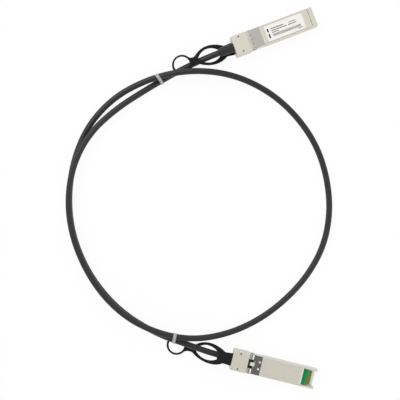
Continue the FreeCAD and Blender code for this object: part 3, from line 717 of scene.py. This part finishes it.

# %% [markdown]

# %% [markdown]
# ## The floor
# The cable lies on a pale table. A table lit from above would come out grey, and more light
# on it would also bleach the plugs. So what the camera and shiny metal see of the table is
# mostly plain white. A small part of the table's own shading stays in it, so that the
# shadow under the cable shows.

# %% the floor's finish
FLOOR_GREY = 0.9
FLOOR_ROUGHNESS = 0.9
WHITE_SHARE = 0.94


def reckon(tree, operation, first, second):
    """The result of a math node on a socket and a socket or a plain number."""
    node = tree.nodes.new("ShaderNodeMath")
    node.operation = operation
    tree.links.new(first, node.inputs[0])
    if isinstance(second, bpy.types.NodeSocket):
        tree.links.new(second, node.inputs[1])
    else:
        node.inputs[1].default_value = second
    return node.outputs["Value"]


floor_finish = bpy.data.materials.new("floor_finish")
floor_finish.use_nodes = True
tree = floor_finish.node_tree
shade = tree.nodes["Principled BSDF"]
shade.inputs["Base Color"].default_value = (FLOOR_GREY, FLOOR_GREY, FLOOR_GREY, 1)
shade.inputs["Roughness"].default_value = FLOOR_ROUGHNESS
shade.inputs["Specular IOR Level"].default_value = 0.0
white = tree.nodes.new("ShaderNodeEmission")
white.inputs["Strength"].default_value = 1.0
ray = tree.nodes.new("ShaderNodeLightPath").outputs
seen = reckon(tree, "MAXIMUM", ray["Is Camera Ray"], ray["Is Glossy Ray"])
seen = reckon(tree, "MAXIMUM", seen, ray["Is Transmission Ray"])
blend = tree.nodes.new("ShaderNodeMixShader")
tree.links.new(reckon(tree, "MULTIPLY", seen, WHITE_SHARE), blend.inputs["Fac"])
tree.links.new(shade.outputs["BSDF"], blend.inputs[1])
tree.links.new(white.outputs["Emission"], blend.inputs[2])
tree.links.new(blend.outputs["Shader"], tree.nodes["Material Output"].inputs["Surface"])
print(floor_finish.name, "shows", WHITE_SHARE, "white and the rest in its own shade")

# %% [markdown]
# ### The table top
# A plane of a few metres reaches past every view, so no edge of it ever shows. It lies a
# hair under the cable.

# %% floor
FLOOR_PLACE = (-0.0287, -0.0016, -0.0002)
FLOOR_SIZE = 6
bpy.ops.object.select_all(action="DESELECT")
bpy.ops.mesh.primitive_plane_add(size=FLOOR_SIZE, location=FLOOR_PLACE)
floor = bpy.context.object
floor.name = "floor"
paint(floor, floor_finish)
print(floor.name, FLOOR_SIZE, "m wide")

# %% [markdown]
# ## World light
# Bright metal shows its surroundings. A studio has a white ceiling with a dark gap in it,
# where the camera hangs. The gap lies to one side, so that a level sheet of steel at one
# end of the cable mirrors the white and one at the other end mirrors the gap. Only
# mirrored rays see the gap. Dull surfaces get the plain light of the whole ceiling.

# %% world light
SKY_STRENGTH = 0.8
GAP_DIRECTION = Vector((0.10, -0.36, 0.93)).normalized()
GAP_RIM, GAP_MIDDLE = 0.86, 0.97
GAP_GREY = 0.2
world = bpy.data.worlds.new("studio")
bpy.context.scene.world = world
world.use_nodes = True
sky = world.node_tree
back = sky.nodes["Background"]
back.inputs["Strength"].default_value = SKY_STRENGTH
direction = sky.nodes.new("ShaderNodeTexCoord")
nearness = sky.nodes.new("ShaderNodeVectorMath")
nearness.operation = "DOT_PRODUCT"
nearness.inputs[1].default_value = GAP_DIRECTION
gap = sky.nodes.new("ShaderNodeValToRGB")
gap.color_ramp.elements[0].position = GAP_RIM
gap.color_ramp.elements[0].color = (1, 1, 1, 1)
gap.color_ramp.elements[1].position = GAP_MIDDLE
gap.color_ramp.elements[1].color = (GAP_GREY, GAP_GREY, GAP_GREY, 1)
mirrored = sky.nodes.new("ShaderNodeLightPath").outputs["Is Glossy Ray"]
sky.links.new(direction.outputs["Generated"], nearness.inputs[0])
sky.links.new(reckon(sky, "MULTIPLY", nearness.outputs["Value"], mirrored), gap.inputs["Fac"])
sky.links.new(gap.outputs["Color"], back.inputs["Color"])
print("the gap lies", round(math.degrees(math.acos(GAP_DIRECTION.z))), "degrees off upright")

# %% [markdown]
# ## Lamps
# Two large square lamps, one to each side, give the edges a soft direction of light. They
# are weak beside the ceiling, so that colours come out about as they are written.

# %% two soft lamps
LAMPS = [
    ("key_lamp", (-0.35, 0.35, 0.55), 0.4, 1.6),
    ("fill_lamp", (0.45, -0.25, 0.5), 0.5, 0.7),
]
for name, place, width, power in LAMPS:
    bpy.ops.object.light_add(type="AREA", location=place)
    lamp = bpy.context.object
    lamp.name = name
    lamp.data.shape = "SQUARE"
    lamp.data.size = width
    lamp.data.energy = power
    lamp.rotation_euler = (-lamp.location).to_track_quat("-Z", "Y").to_euler()
    print(name, "power", power, "W")

# %% [markdown]
# ## The camera
# The camera looks straight down from about two thirds of a metre. It hangs over the middle
# of the whole object, which lies a few millimetres from the middle of the loop because
# the plugs stick out. A long lens keeps the plugs' sides from leaning outward.

# %% camera straight overhead
CAMERA_HEIGHT = 0.652
CAMERA_OFFSET = (0.00075, 0.00336)
CAMERA_LENS = 85.4
bpy.ops.object.camera_add(location=(COIL_CENTRE[0] + CAMERA_OFFSET[0],
                                    COIL_CENTRE[1] + CAMERA_OFFSET[1], CAMERA_HEIGHT),
                          rotation=(0, 0, 0))
camera = bpy.context.object
camera.name = "overhead_camera"
camera.data.sensor_width = 36
camera.data.lens = CAMERA_LENS
camera.data.clip_start = 0.01
bpy.context.scene.camera = camera
bpy.context.scene.view_settings.view_transform = "Standard"
print("camera", CAMERA_HEIGHT, "m up")
